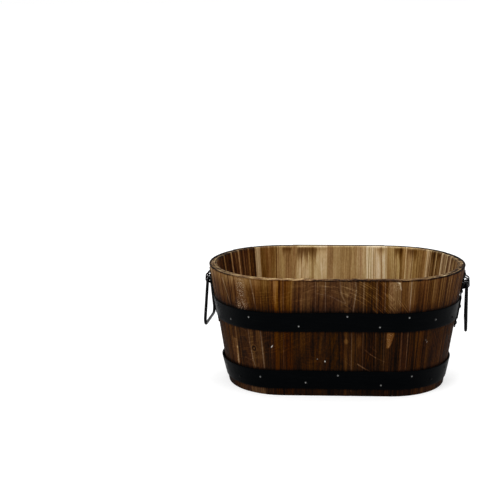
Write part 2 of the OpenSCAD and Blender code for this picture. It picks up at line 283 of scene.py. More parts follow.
# Fir, scorched with a flame, brushed along the grain and left matt: the scorch sits deepest in
# narrow streaks, hard late wood stays as thin dark lines, and bare wood shows pale at the edges
wood = {
    "ramp": [
        (0.0, "#050201"), (0.08, "#1a0e07"), (0.15, "#2f190a"), (0.22, "#412712"),
        (0.30, "#56381c"), (0.41, "#6d4e2e"), (0.53, "#866641"), (0.67, "#a38458"),
        (0.82, "#c2a67a"), (1.0, "#decbaa"),
    ],
    "roughness": 0.75,
    "specular": 0.03,
    "noises": {  # mm across and along the grain, detail, roughness
        "fibre": (0.45, 30, 3.0, 0.55),
        "streak": (1.3, 330, 3.0, 0.6),
        "band": (4.5, 1400, 2.0, 0.6),
        "cloud": (16, 120, 2.0, 0.55),
        "speck": (1.6, 2.4, 2.0, 0.7),
        "lines": (1.7, 500, 2.0, 0.5),  # thin dark lines of late wood
        "mottle": (2.2, 5.0, 2.0, 0.6),
    },
    "ringDepth": 0.05,
    "bandDepth": 0.035,
    "mottleDepth": 0.032,
    "lineDepth": 0.36,
    "fibreShare": 0.22,
    "cloudShare": 0.12,
    "middle": 0.150,  # what the noises add on average
    "hueDrift": 0.004,
    "scuffSize": (1.35, 30),  # mm across and along a scuff
    "scuffShare": 0.15,
    "bump": 0.22,  # mm
    "chip": "#efe9df",
}
bareWood = dict(wood, tone=0.47, pith=(38, -22), ringWidth=4.2, ringDepth=0.09, bandDepth=0.05)
smoothStep = {"interpolation_type": "SMOOTHSTEP"}

# The fields that a stave's mesh carries beside its grain, three to an attribute
staveParts = {
    "figure": ("rings", "tone", "warm"),
    "marks": ("scorch", "rough", "chip"),
    "scuffs": ("scuffOut", "scuffRound", "scuffed"),
    "tint": ("hueShift", "lineShare", "nothing"),
}


def staveFields(add):
    fields = {"grain": (add("Attribute", attribute_name="board"), "Vector")}
    for name, parts in staveParts.items():
        fields[name] = (add("Attribute", attribute_name=name), "Vector")
        split = add("SeparateXYZ", fields[name])
        fields.update({part: (split, axis) for part, axis in zip(parts, "XYZ")})
    return fields


def boardFields(add, settings, grainTurn):
    # A board without fields takes its grain from Object coordinates, turned so that it runs along
    # Z, and its rings from the distance to the pith
    grain = add("Mapping", {0: (add("TexCoord"), "Object"), "Rotation": grainTurn})
    width = settings["ringWidth"] * mm
    offset = [side * mm / width for side in settings["pith"]]
    scale = (1 / width, 1 / width, 0.08 / width)
    fromPith = add("Mapping", {0: grain, "Scale": scale, "Location": (*offset, 0)})
    rings = (add("VectorMath", fromPith, operation="LENGTH"), "Value")
    return {
        "grain": grain, "rings": rings, "tone": settings["tone"], "warm": 0.0, "scorch": 0.0,
        "rough": 0.0, "hueShift": 0.0, "lineShare": 0.5,
    }


def makeWood(name, settings, grainTurn=None):
    material, add = newMaterial(name)
    onStave = grainTurn is None
    field = staveFields(add) if onStave else boardFields(add, settings, grainTurn)
    noise = {}
    for key, (across, along, detail, roughness) in settings["noises"].items():
        scale = (1 / (across * mm), 1 / (across * mm), 1 / (along * mm))
        stretched = add("Mapping", {0: field["grain"], "Scale": scale})
        noise[key] = add(
            "TexNoise", {"Vector": stretched, "Scale": 1.0, "Detail": detail, "Roughness": roughness}
        )
    fibre, streak, band, cloud = (noise[key] for key in ("fibre", "streak", "band", "cloud"))
    # A year's ring: the tone sinks slowly into the hard late wood and jumps back after it
    year = add("Math", addUp(add, field["rings"], (streak, 0.35)), operation="FRACT")
    late = add("MapRange", year, 0.35, 0.90, **smoothStep)
    early = add("MapRange", year, 0.93, 1.0, 1.0, 0.0, **smoothStep)
    ring = add("Math", late, early, operation="MULTIPLY")
    # Everything that darkens or lightens the wood adds up to one value for the ramp
    deep, speckled = settings["bandDepth"], settings["mottleDepth"]
    bands = add("MapRange", band, 0.36, 0.64, -deep, deep, **smoothStep)
    mottles = add("MapRange", noise["mottle"], 0.3, 0.7, -speckled, speckled, **smoothStep)
    swing = add("Math", field["lineShare"], 0.22, 0.26, operation="MULTIPLY_ADD")
    streaks = add("Math", add("Math", streak, 0.5, operation="SUBTRACT"), swing, operation="MULTIPLY")
    value = addUp(
        add, field["tone"], (ring, -settings["ringDepth"]), (bands, 1.0), (streaks, 1.0),
        (fibre, settings["fibreShare"]), (cloud, settings["cloudShare"]), (mottles, 1.0),
    )
    value = add("Math", value, settings["middle"], operation="SUBTRACT")
    lines = add("MapRange", noise["lines"], 0.36, 0.47, settings["lineDepth"], -0.03, **smoothStep)
    dark = add("Math", lines, field["lineShare"], operation="MULTIPLY")
    value = add("Math", value, add("Math", 1.0, dark, operation="SUBTRACT"), operation="MULTIPLY")
    # Torn and rough wood breaks up into pale specks
    specks = add("MapRange", noise["speck"], 0.50, 0.62, **smoothStep)
    broken = add("Math", specks, field["rough"], operation="MULTIPLY")
    value = addUp(add, value, (broken, 0.42))
    # Scorch fades down the streaks, so its edge is soft and ragged along the grain
    ragged = addUp(add, field["scorch"], (streak, 0.5), (band, 0.3), (cloud, 0.3))
    burnt = add("MapRange", ragged, 0.50, 1.50, 1.0, 0.46, **smoothStep)
    value = add("Math", value, burnt, operation="MULTIPLY")
    if onStave:
        # Sanding scuffs: thin broken arcs round a far centre
        scale = [1 / (length * mm) for length in settings["scuffSize"]]
        scuff = add("Mapping", {0: field["scuffs"], "Scale": (*scale, 0)})
        scuff = add("TexNoise", {"Vector": scuff, "Scale": 1.0, "Detail": 1.0}, noise_dimensions="2D")
        scuff = add("MapRange", scuff, 0.57, 0.70, **smoothStep)
        scuff = add("Math", scuff, field["scuffed"], operation="MULTIPLY")
        value = addUp(add, value, (scuff, settings["scuffShare"]))
    ramp = add("ValToRGB", value)
    setRamp(ramp, settings["ramp"])
    warmth = addUp(add, add("Math", field["warm"], 1.0, operation="ADD"), (broken, -0.35))
    # The hue drifts between ochre and red-brown from place to place
    drift = settings["hueDrift"]
    hue = add("MapRange", cloud, 0.35, 0.65, 0.5 - drift, 0.5 + drift, **smoothStep)
    hue = add("Math", hue, field["hueShift"], operation="ADD")
    colour = add("HueSaturation", {"Color": ramp, "Saturation": warmth, "Hue": hue})
    if onStave:
        # Where the surface is chipped, clean wood shows
        clean = add("Mix", {0: field["chip"], 6: colour, 7: linear(settings["chip"])}, data_type="RGBA")
        colour = (clean, 2)
    relief = addUp(add, fibre, (ring, 0.5), (streak, 0.8), (broken, 0.8))
    bump = add("Bump", {"Height": relief, "Distance": settings["bump"] * mm, "Strength": 0.8})
    gloss = addUp(add, settings["roughness"], (ring, -0.12), (streak, 0.12))
    shader = add("BsdfPrincipled", {
        "Base Color": colour, "Roughness": gloss, "Normal": bump,
        "Specular IOR Level": settings["specular"],
    })
    add("OutputMaterial", shader)
    return material


woodMaterial = makeWood("scorched_brushed_fir", wood)

staves = {
    "acrossStep": 0.8 * mm,
    "outerStep": 1.15 * mm,
    "innerStep": 2.2 * mm,
    "jointGap": -0.02 * mm,
    "rimRounding": 1.1 * mm,
    "edgeRounding": 0.45 * mm,
    "unevenTop": 0.8 * mm,
    "unevenFace": 0.2 * mm,
    "rimTone": 0.33,
    # The inner face's tones are raised by this share, painted light that makes up for the light the inside
    # of the tub lacks
    "innerPaintedLight": 1.13,
}

# The boards' tones. Each strip is (start, tone, warmth): places in mm along the rim, outside from
# the middle of the front, inside from the middle of the back; tones are places on the wood's ramp
outerHigh = [
    (-330, 0.24, 0.0), (-262, 0.31, -0.04), (-236, 0.26, 0.0), (-214, 0.27, 0.04), (-199, 0.24, 0.03),
    (-176, 0.265, 0.03), (-147, 0.255, 0.07), (-131, 0.26, 0.09), (-113, 0.26, 0.09), (-103, 0.22, 0.10),
    (-101, 0.37, 0.11), (-97, 0.40, 0.16), (-92.5, 0.21, 0.14), (-88.5, 0.27, 0.10), (-84, 0.235, 0.12),
    (-79.5, 0.285, 0.12), (-70, 0.235, 0.03), (-57, 0.27, 0.0), (-50, 0.25, 0.0), (-36, 0.23, 0.0),
    (-24, 0.215, 0.0), (-12, 0.23, -0.02), (28, 0.20, 0.03), (33, 0.225, 0.03), (37, 0.20, 0.03),
    (43, 0.16, 0.08), (53, 0.145, 0.08), (60, 0.165, 0.07), (64, 0.145, 0.08), (70, 0.18, 0.08),
    (75.5, 0.19, 0.10), (79.5, 0.375, 0.0), (99, 0.295, 0.06), (107, 0.33, 0.04), (111.5, 0.38, 0.02),
    (117, 0.32, 0.04), (122, 0.26, 0.06), (136, 0.255, 0.06), (146, 0.265, 0.07), (157, 0.31, 0.04),
    (163, 0.25, 0.07), (170, 0.29, 0.05), (178, 0.235, 0.04), (188, 0.265, 0.04), (200, 0.23, 0.04),
    (215, 0.24, 0.0), (230, 0.21, 0.0),
]
# Below the upper hoop the outer tones are darker: partly the wood's own tone, partly painted shade that
# darkens the wall towards the floor
outerLow = [
    (-330, 0.12, 0.0), (-262, 0.12, 0.0), (-214, 0.15, 0.02), (-195, 0.17, 0.0), (-174, 0.145, -0.04),
    (-149, 0.19, -0.05), (-131, 0.20, -0.05), (-122, 0.125, -0.02), (-104, 0.13, 0.02), (-100, 0.18, 0.10),
    (-92, 0.135, 0.06), (-86, 0.15, 0.08), (-69, 0.10, 0.03), (-60, 0.125, 0.03), (-42, 0.115, 0.03),
    (-25, 0.105, 0.0), (-14, 0.09, 0.05), (4, 0.115, 0.03), (10, 0.14, 0.0), (23, 0.115, 0.0),
    (29, 0.14, 0.0), (38, 0.10, 0.03), (45, 0.06, 0.05), (75, 0.08, 0.0), (90, 0.075, 0.05),
    (101, 0.14, 0.0), (114, 0.11, 0.02), (124, 0.10, 0.05), (130, 0.145, 0.03), (146, 0.12, 0.0),
    (156, 0.135, 0.0), (165, 0.11, 0.0), (180, 0.12, 0.0), (200, 0.10, 0.0),
]
innerHigh = [
    (-300, 0.38, 0.0), (-250, 0.42, -0.05), (-227, 0.49, -0.05), (-206, 0.36, 0.05), (-182, 0.49, 0.02),
    (-176, 0.59, 0.0), (-170.5, 0.50, 0.10), (-142, 0.61, 0.06), (-125.5, 0.55, 0.10), (-112, 0.61, 0.07),
    (-100, 0.58, 0.08), (-89, 0.76, 0.02), (-73.5, 0.81, 0.02), (-53, 0.70, 0.03), (-47.5, 0.61, 0.02),
    (-37, 0.56, 0.05), (-9, 0.57, 0.03), (4, 0.52, 0.04), (14.5, 0.73, 0.03), (36, 0.64, 0.05),
    (46, 0.70, 0.03), (67, 0.53, 0.06), (73, 0.49, 0.07), (88.5, 0.54, 0.06), (100.5, 0.48, 0.07),
    (106, 0.41, 0.11), (116, 0.37, 0.11), (131, 0.33, 0.11), (138.5, 0.56, -0.06), (149, 0.155, 0.08),
    (166, 0.17, 0.04), (190, 0.175, 0.04), (211, 0.11, 0.06), (235, 0.13, 0.06), (262, 0.20, 0.0),
]

# How strong the fine dark lines are, outside and inside: (start, strength, hue shift)
outerLineShares = [
    (-660, 0.8, 0.0), (-300, 0.6, 0.0), (-230, 0.35, 0.0), (-147, 0.35, 0.0), (-113, 0.45, 0.0),
    (-103, 0.9, -0.005), (-70, 0.35, 0.0), (-20, 0.2, 0.0), (4, 0.15, 0.0), (33, 0.75, 0.0),
    (79.5, 0.25, 0.0), (99, 0.5, -0.003), (128, 1.0, -0.003), (200, 1.1, -0.003), (330, 0.7, 0.0),
]
innerLineShares = [
    (-660, 0.8, 0.0), (-250, 1.1, 0.0), (-142, 1.0, 0.0), (-100, 0.6, 0.0), (-89, 0.8, 0.0),
    (-47.5, 0.5, -0.002), (-9, 0.3, -0.002), (14.5, 0.4, 0.0), (36, 0.55, 0.0), (67, 0.4, -0.002),
    (88.5, 0.4, -0.002), (100.5, 1.0, -0.003), (131, 0.5, -0.003), (149, 0.6, -0.006), (300, 0.8, 0.0),
]

# Thin lines outside, where bare wood or a glue line shows: (place, height, place, height, half
# width, tone), in mm
outerLines = [
    (-199.5, 191, -185, 146, 1.1, 0.22), (-138, 197, -135, 175, 1.6, 0.12),
    (-135, 175, -131, 146, 1.1, 0.20), (-84, 199, -84, 46, 0.8, 0.12), (-34, 199, -34, 146, 0.7, 0.12),
    (-18.5, 199, -18.5, 146, 0.8, 0.20), (41, 199, 41, 46, 0.7, 0.13), (61, 199, 61, 46, 0.8, 0.13),
    (74, 199, 74, 46, 0.8, 0.16), (23, 116, 23, 8, 0.8, 0.20), (115, 199, 115, 46, 0.9, 0.15),
    (104, 116, 104, 46, 1.1, 0.10), (-181, 112, -183, 75, 2.6, 0.19), (-183, 75, -185, 46, 3.2, 0.27),
    (-183, 62, -185, 46, 1.4, 0.14), (-187, 88, -188, 50, 4.0, 0.12), (-193, 90, -194, 46, 3.0, 0.07),
    (-151, 112, -150, 88, 1.0, 0.14), (-150, 88, -148, 74, 1.1, 0.15), (-148, 74, -146.5, 61, 1.2, 0.20),
    (-146.5, 61, -142, 46, 1.1, 0.19), (-126, 112, -122.5, 46, 1.5, 0.17), (28, 198, 29.5, 183, 1.0, 0.19),
    (29.5, 183, 24.5, 146, 1.0, 0.19), (4, 197, 5.5, 178, 1.2, 0.09), (5.5, 178, 13, 162, 1.2, 0.08),
    (90, 199, 96, 195, 1.5, 0.30), (96, 195, 99, 184, 1.3, 0.26), (99, 184, 99, 146, 1.0, 0.08),
    (44, 82, 53, 74, 0.6, 0.20), (53, 74, 62, 68, 0.7, 0.28), (64, 67, 76, 61, 0.6, 0.15),
    (52, 88, 63, 78, 0.5, 0.12), (33, 57, 43, 50, 0.9, 0.32), (43, 50, 54, 44, 0.7, 0.28),
    (10, 64, 22, 54, 0.5, 0.07), (48, 93, 58, 86, 0.5, 0.08), (-172, 112, -160, 110, 0.8, 0.08),
    (-160, 110, -156, 107, 0.8, 0.09), (-164, 61, -146, 57, 0.7, 0.09), (-161, 53, -147, 50, 0.6, 0.06),
    (-33, 178, -11, 173, 0.8, 0.09), (-11, 173, 12, 161, 0.8, 0.12), (-40, 190, -14, 187, 0.8, 0.06),
]

# Chips, knots' hearts and rubbed spots outside: (place, height, half width, half height, turn in
# degrees, tone)
outerSpots = [
    (14.5, 96, 4.0, 5.5, 0, 0.15), (35, 96, 4.5, 13, 0, 0.09), (14.5, 190, 2.2, 2.2, 0, -0.08),
    (15, 183, 12, 17, 0, 0.055), (-196, 120, 3, 9, 0, 0.05), (58, 44, 1.0, 2.0, 30, 0.1),
    (93, 120, 5, 22, 0, 0.02), (-159, 151, 11, 9, 0, 0.11), (-158, 174, 4, 18, 0, 0.05),
]

# Chips down to clean wood, given in the same way
chips = [
    (-105.5, 86, 0.7, 2.8, -42, 0.9), (-18.5, 61, 1.0, 1.3, 20, 0.85), (-30.5, 65, 0.8, 0.8, 0, 0.3),
    (155, 91.5, 0.6, 1.8, -20, 0.35), (152, 95, 0.5, 1.4, 30, 0.2), (310, 160, 0.9, 2.6, 35, 0.8),
    (-420, 60, 1.2, 1.5, 0, 0.7), (-480, 168, 0.8, 2.2, -30, 0.6),
]

# Torn, rough places outside: (place, height, half width, half height, strength)
roughPlaces = [
    (-160, 152, 14, 14, 1.0), (-158, 178, 9, 20, 0.85), (93, 190, 7, 9, 0.4), (-186, 55, 3, 12, 0.3),
]

# Sanding scuffs outside: (centre's place and height, smallest and largest radius, lowest height,
# strength), in mm
scuffPlaces = [
    (-36, 54, 126, 182, 118, 1.1), (-43, 84, 84, 104, 40, 0.6), (-70, -120, 165, 215, 40, 0.35),
    (330, 240, 120, 190, 40, 0.4), (-215, 420, 318, 372, 40, 0.5), (-170, 560, 378, 418, 146, 0.5),
]

# Cathedral figure outside, where a board's rings are cut through: (place, height, half width, half
# height, rings, strength), in mm
arches = [
    (15, 188, 12.5, 40, 3.0, 0.045), (86, 174, 12, 30, 4.0, 0.035), (-142, 79.5, 6.0, 7.0, 1.0, 0.19),
    (-138, 64, 9, 22, 1.5, 0.03), (-350, 120, 14, 60, 4.0, 0.05), (-520, 60, 15, 70, 4.0, 0.04),
    (395, 90, 14, 70, 4.0, 0.05),
]

# Scorch from the rim down inside: (from, to, depth, strength), in mm
innerScorch = [
    (75, 95, 13, 0.7), (66, 78, 6, 0.25), (31, 68, 22, 0.85), (12, 33, 10, 0.40), (-86, -69, 14, 0.5),
    (-122, -103, 17, 0.8), (-150, -128, 20, 0.7), (-192, -180, 17, 0.65), (-208, -196, 12, 0.7),
    (-254, -242, 10, 0.7),
]

# Thin vertical lines inside: (place, half width, tone), in mm
innerLines = [
    (233.5, 2.5, 0.34), (222, 1.2, 0.10), (208.5, 2.7, 0.40), (197, 1.4, 0.12), (188, 2.6, 0.38),
    (176, 1.2, 0.13), (170, 1.2, 0.09), (163.5, 1.6, 0.23), (155, 1.1, 0.10), (135, 1.2, -0.12),
    (130, 0.9, -0.08), (125.5, 1.8, -0.12), (121, 1.0, 0.13), (116, 2.2, -0.08), (112, 1.2, -0.10),
    (108.5, 0.9, 0.11), (105.5, 0.8, -0.10), (95, 0.8, 0.05), (80, 0.8, -0.04), (52.5, 1.2, 0.05),
    (40, 0.9, -0.06), (29, 0.9, -0.06), (21, 0.9, 0.05), (-17, 0.8, 0.04), (-31, 1.0, -0.05),
    (-42, 0.9, 0.05), (-52, 1.0, -0.09), (-61, 0.8, -0.07), (-66, 0.7, 0.05), (-78, 0.9, -0.09),
    (-84, 1.6, 0.10), (-107, 1.0, 0.08), (-116, 0.9, -0.06), (-126.5, 1.0, 0.15), (-131, 0.8, -0.08),
    (-150, 1.0, 0.06), (-163, 0.9, -0.07), (-173, 1.4, 0.16), (-178, 1.1, -0.12), (-188, 1.0, -0.12),
    (-194, 1.0, 0.14), (-201, 1.2, -0.12), (-210, 2.6, 0.18), (-217, 2.0, -0.17), (-224, 1.8, 0.15),
    (-231, 2.2, -0.20), (-239, 2.4, 0.22), (-246, 2.0, -0.20), (-254, 2.6, 0.22), (-262, 2.0, -0.18),
    (-270, 2.4, 0.20),
]

# Knots: (face, place, height, radius), in mm; the rings flow round them
knots = [
    ("outer", 15, 188, 15), ("outer", -142, 79, 8), ("outer", -420, 150, 9), ("outer", 318, 74, 10),
    ("inner", -330, 110, 11), ("inner", 40, 70, 9), ("outer", -560, 66, 8),
]
# The hoops' edges: height in mm, and whether the wood shows above (1) or below (-1)
hoopEdges = [(146, 1), (112.5, -1), (45.5, 1), (12.5, -1)]
flatSawn = (1, 6, 13, 17, 20)  # boards cut beside the pith, counted round the tub from 0


def jointAt(k):
    widths = tub["staveWidths"]
    return -halfRun + halfRim * sum(widths[:k]) / sum(widths)


def staveOutline(settings):
    # The stave's section as (radius, height): foot, outer face, rounded rim, inner face, groove
    depth = tub["staveThickness"] / math.cos(lean)
    low, high = tub["baseLift"] - 0.3 * mm, tub["baseLift"] + tub["baseThickness"] + 0.3 * mm
    floor = outerRadius(tub["baseLift"]) - depth + tub["grooveDepth"]
    top = tub["height"]
    corners = [(outerRadius(0) - depth, 0), (outerRadius(0), 0), (outerRadius(top), top)]
    corners += [(outerRadius(z) - depth, z) for z in (top, high)]
    corners += [(floor, high), (floor, low), (outerRadius(low) - depth, low)]
    rim = settings["rimRounding"]
    radii = [0.8 * mm, 0.8 * mm, rim, rim, 0.4 * mm, 0, 0, 0.4 * mm]
    steps = [
        3 * mm, settings["outerStep"], 0.7 * mm, settings["innerStep"],
        3 * mm, 4 * mm, 3 * mm, 4 * mm,
    ]
    return roundedOutline(corners, radii, steps)


def staveColumns(start, end, half, settings):
    # Places across the board: close together where its long edges are rounded, and more of them at
    # the upright lines, so that these stay sharp
    rounding = settings["edgeRounding"]
    edge = rounding * (1 - np.cos(np.linspace(0, math.pi / 2, 5)))
    middle = np.linspace(start + rounding, end - rounding, int((end - start) / settings["acrossStep"]))
    outside = [line[0] + (halfRim / mm if half else 0) for line in outerLines if line[0] == line[2]]
    inside = [line[0] + (0 if half else halfRim / mm) for line in innerLines]
    lines = np.array(outside + inside)[:, None] * mm + np.array([-0.9, -0.3, 0.3, 0.9]) * mm
    lines = lines[(lines > start + 2 * rounding) & (lines < end - 2 * rounding)]
    middle = np.unique(np.concatenate([middle, lines]).round(6))
    middle = middle[np.concatenate([[True], np.diff(middle) > 0.1 * mm])]
    return np.concatenate([start + edge[:-1], middle[:-1], [end - rounding], end - edge[-2::-1]])


def moreStrips(strips, seed, level, spread):
    # The listed strips, with strips of seeded random widths and tones before and after them
    rng = np.random.default_rng(seed)
    starts = -660 + np.cumsum(rng.uniform(4, 16, 200))
    tones = level + rng.normal(0, spread, 200)
    warmths = rng.uniform(-0.05, 0.06, 200)
    first, last = strips[0][0], strips[-1][0] + 25
    random = [s for s in zip(starts, tones, warmths) if s[0] < 500 and not first < s[0] < last]
    return sorted(random + strips)


def readStrips(position, strips, soft):
    # Tone and warmth at each position: the first strip's, plus a smooth step at each next start
    tone = np.full(position.shape, strips[0][1])
    warmth = np.full(position.shape, strips[0][2])
    for before, here in zip(strips, strips[1:]):
        step = ease(position, here[0] - soft, here[0] + soft)
        tone += (here[1] - before[1]) * step
        warmth += (here[2] - before[2]) * step
    return tone, warmth


outerHighStrips = moreStrips(outerHigh, 5, 0.24, 0.045)
outerLowStrips = moreStrips(outerLow, 6, 0.125, 0.03)
innerStrips = moreStrips(innerHigh, 7, 0.45, 0.10)


def spotShare(place, height, spot):
    # The spot's strength inside its turned ellipse, 0 outside it
    s0, t0, halfWidth, halfHeight, turn, strength = spot
    cosine, sine = math.cos(math.radians(turn)), math.sin(math.radians(turn))
    a = ((place - s0) * cosine + (height - t0) * sine) / halfWidth
    b = (-(place - s0) * sine + (height - t0) * cosine) / halfHeight
    return strength * (1 - ease(np.hypot(a, b), 0.45, 1.2))


def addMarks(place, height, tone):
    # Thin lines by the distance from their segments, and spots by their turned ellipses; also gives
    # how far the lines' colour fades, and how much of the rubbed drop is here
    pale = np.zeros_like(tone)
    for s0, t0, s1, t1, width, strength in outerLines:
        share = ((place - s0) * (s1 - s0) + (height - t0) * (t1 - t0)) / ((s1 - s0) ** 2 + (t1 - t0) ** 2)
        share = np.clip(share, 0, 1)
        distance = np.hypot(place - s0 - share * (s1 - s0), height - t0 - share * (t1 - t0))
        here = 1 - ease(distance, 0.25 * width, 1.15 * width)
        tone = tone + strength * here
        pale = np.maximum(pale, here * min(1, 6 * abs(strength), 2.5 / width ** 2))
    for spot in outerSpots:
        tone = tone + spotShare(place, height, spot)
    # The rubbed drop below the upper hoop: straight on its left, bowed on its right
    right = 78.9 + 11.6 * np.sqrt(np.clip((height - 84) / 28, 0, 1))
    drop = between(place, 77.6, 78.8, right - 0.7, right + 0.7) * between(height, 84, 86, 112, 118)
    return tone + drop * 0.26, pale, drop


def archRings(place, height, arch):
    # Ovals round one place: the cosine of the distance from it, fading out past the last of them
    s0, t0, halfWidth, halfHeight, count, strength = arch
    away = np.hypot((place - s0) / halfWidth, (height - t0) / halfHeight)
    return strength * np.cos(away * count * math.tau) * (1 - ease(away, 0.8, 1.1))


def outerTones(at):
    # Tone and warmth of the outer face, and its rubbed drop
    place, t, ends = at.outer, at.t, np.abs(at.outer)
    high, highWarm = readStrips(place + at.bend, outerHighStrips, 0.8)
    low, lowWarm = readStrips(place + at.bend, outerLowStrips, 0.8)
    upper = ease(t, 112, 130)
    # The foot is darker, partly the wood's own tone and partly painted shade, apart from a stretch near each
    # end
    lit = between(place, -215, -170, -140, -90) + 0.6 * between(place, 120, 160, 200, 230)
    tone = blend(low, high, upper) * (1 - (0.42 - 0.80 * lit) * (1 - ease(t, 4, 30)))
    # The upper band pales towards the rim, most near the left end, and darkens towards the hoop
    climb = np.clip((t - 146) / 54, 0, 1)
    tone = tone * (1 + upper * (0.38 * climb - 0.20))
    tone = tone + 0.17 * between(place, -300, -240, -150, -72) * ease(t, 174, 197)
    # Fine lines along the grain, strongest where the ends are seen at a slant
    fine = waves(place, t, 71, 3.2, 260, 14)
    coarse = waves(place, t, 74, 4.4, 600, 14) * ease(ends, 135, 190)
    tone = tone * (1 + (0.05 + 0.17 * ease(ends, 120, 200)) * fine + 0.20 * coarse)
    # Towards the right end the boards are cut so that their rings run straight and close together
    close = np.cos(place / 5.0 * math.tau + 1.8 * waves(place, t, 75, 26, 240))
    tone = tone * (1 + 0.26 * close * between(place, 140, 180, 255, 275))
    for arch in arches:
        tone = tone + archRings(place, t, arch)
    tone, pale, drop = addMarks(place, t, tone)
    # Painted shadow on the wall just above the upper hoop, fading up towards the rim
    tone = tone * (1 - 0.40 * between(t, 138, 142, 144, 163))
    # Painted shade and dirt darken the wood along the hoops' edges
    for edge, side in hoopEdges:
        tone = tone * (1 - 0.55 * between((t - edge) * side, -6, -3, -0.5, 3.2))
    warm = blend(lowWarm + 0.06, highWarm, upper) - 0.22 * pale + 0.05 * drop
    return tone, warm - 0.10 * lit * (1 - ease(t, 10, 30)), drop


def innerTones(at, paintedLight):
    # Tone and warmth of the inner face
    place, t, ends = at.inner, at.t, np.abs(at.inner)
    tone, warm = readStrips(place + at.bend, innerStrips, 0.7)
    # The whole inner face is brightened by a share, painted light for the light the inside lacks, and it is
    # darker towards the bottom
    tone = tone * paintedLight * (0.86 + 0.14 * ease(t, 60, 170))
    tone = tone * (1 + (0.04 + 0.15 * ease(ends, 120, 190)) * waves(place, t, 72, 3.6, 300, 14))
    for s0, width, strength in innerLines:
        tone = tone + strength * (1 - ease(np.abs(place - s0), 0.3 * width, 1.2 * width))
    return tone, warm


def rimTones(at, inner, tone):
    # The sawn rim: end grain in thin layers, along its inner arris as pale or dark as the wall below and a
    # little paler still, a painted highlight where the rounding catches the light
    layers = 0.06 * waves(at.across, at.depth, 400 + at.index, 0.03, 0.004)
    layers = layers + 0.16 * at.ends * waves(at.outer * mm, at.depth, 77, 0.09, 0.0036, 12)
    layers = layers + at.ends * (0.05 * waves(at.across, at.depth, 600 + at.index, 0.004, 0.004) - 0.05)
    for strength, seed, wide, thick in ((0.13, 450, 0.022, 0.014), (0.06, 650, 0.006, 0.005)):
        tone = tone + strength * waves(at.across, at.depth, seed + at.index, wide, thick)
    worn = between(at.outer, -205, -160, -60, -15)
    tone = tone + layers + 0.22 * worn
    tone = blend(tone, 1.08 * inner, (0.45 + 0.55 * at.behind) * ease(at.depth, 8 * mm, 10.5 * mm))
    # Burnt along the outer arris: a narrow line in front, half the rim's width behind
    fromArris = (at.depth / mm - 1.2 - 5.2 * at.behind) / (2.0 + 0.6 * at.behind)
    tone = tone - (0.30 - 0.15 * worn + 0.08 * at.behind) * (1 - ease(fromArris, 0, 1))
    return tone - 0.14 * at.ends * ease(at.depth, 10 * mm, 11 * mm)


def growthRings(at, rng):
    # Distance from the pith over the ring width, pushed aside by the knots
    pithAcross = rng.choice([-1, 1]) * rng.uniform(32, 80) * mm
    pithDepth = rng.uniform(8, 40) * mm
    ringWidth = rng.uniform(2.8, 4.6) * mm
    driftAcross, driftDepth = rng.uniform(-0.02, 0.02, 2)
    if at.index in flatSawn:
        pithAcross, pithDepth, driftDepth = rng.uniform(-8, 8) * mm, 24 * mm, rng.uniform(0.09, 0.15)
    sideways = at.across - pithAcross - driftAcross * at.along
    inwards = at.depth - pithDepth - driftDepth * at.along
    rings = np.hypot(sideways, inwards) / ringWidth
    rings = rings + 0.22 * waves(at.across, at.along, 50 + at.index, 0.05, 0.16)
    for face, place, up, size in knots:
        here, shown = (at.outer, 1 - at.inside) if face == "outer" else (at.inner, at.inside)
        away = np.hypot(here - place, (at.t - up) * 0.7) / size
        rings = rings + 3.2 * np.exp(-(away ** 2) * 1.6) * shown
    return rings


def scorchDepths(at):
    # Scorch hangs from the rim in fingers: full at the rim, 0 at each finger's reach
    scorch = np.zeros_like(at.t)
    for first, last, reach, strength in innerScorch:
        side = between(at.inner, first - 2, first + 4, last - 4, last + 2)
        fingers = reach * np.clip(1 + 0.32 * waves(at.inner, at.t, 73, 4.2, 400, 12), 0.5, 1.7)
        scorch = np.maximum(scorch, side * strength * np.clip(1.35 - (200 - at.t) / fingers, 0, 1))
    return scorch * at.inside * (1 - ease(at.t, 196.2, 198.4))


def scuffFields(at):
    # Distance from the far centre, length round it, and how strong the scuffs are
    scuffs = np.zeros(at.t.shape + (3,))
    for s0, t0, nearest, farthest, lowest, strength in scuffPlaces:
        away = np.hypot(at.outer - s0, at.t - t0)
        mask = between(away, nearest, nearest + 8, farthest - 8, farthest) * strength
        mask = mask * ease(at.t, lowest, lowest + 20) * (1 - ease(np.abs(at.outer - s0 - 90), 70, 100))
        mask = mask * (1 - at.inside) * (1 - at.onRim)
        turn = np.arctan2(at.t - t0, at.outer - s0) * away
        new = np.stack([away * mm, turn * mm, mask], axis=-1)
        scuffs = np.where((mask > scuffs[..., 2])[..., None], new, scuffs)
    return np.moveaxis(scuffs, -1, 0)


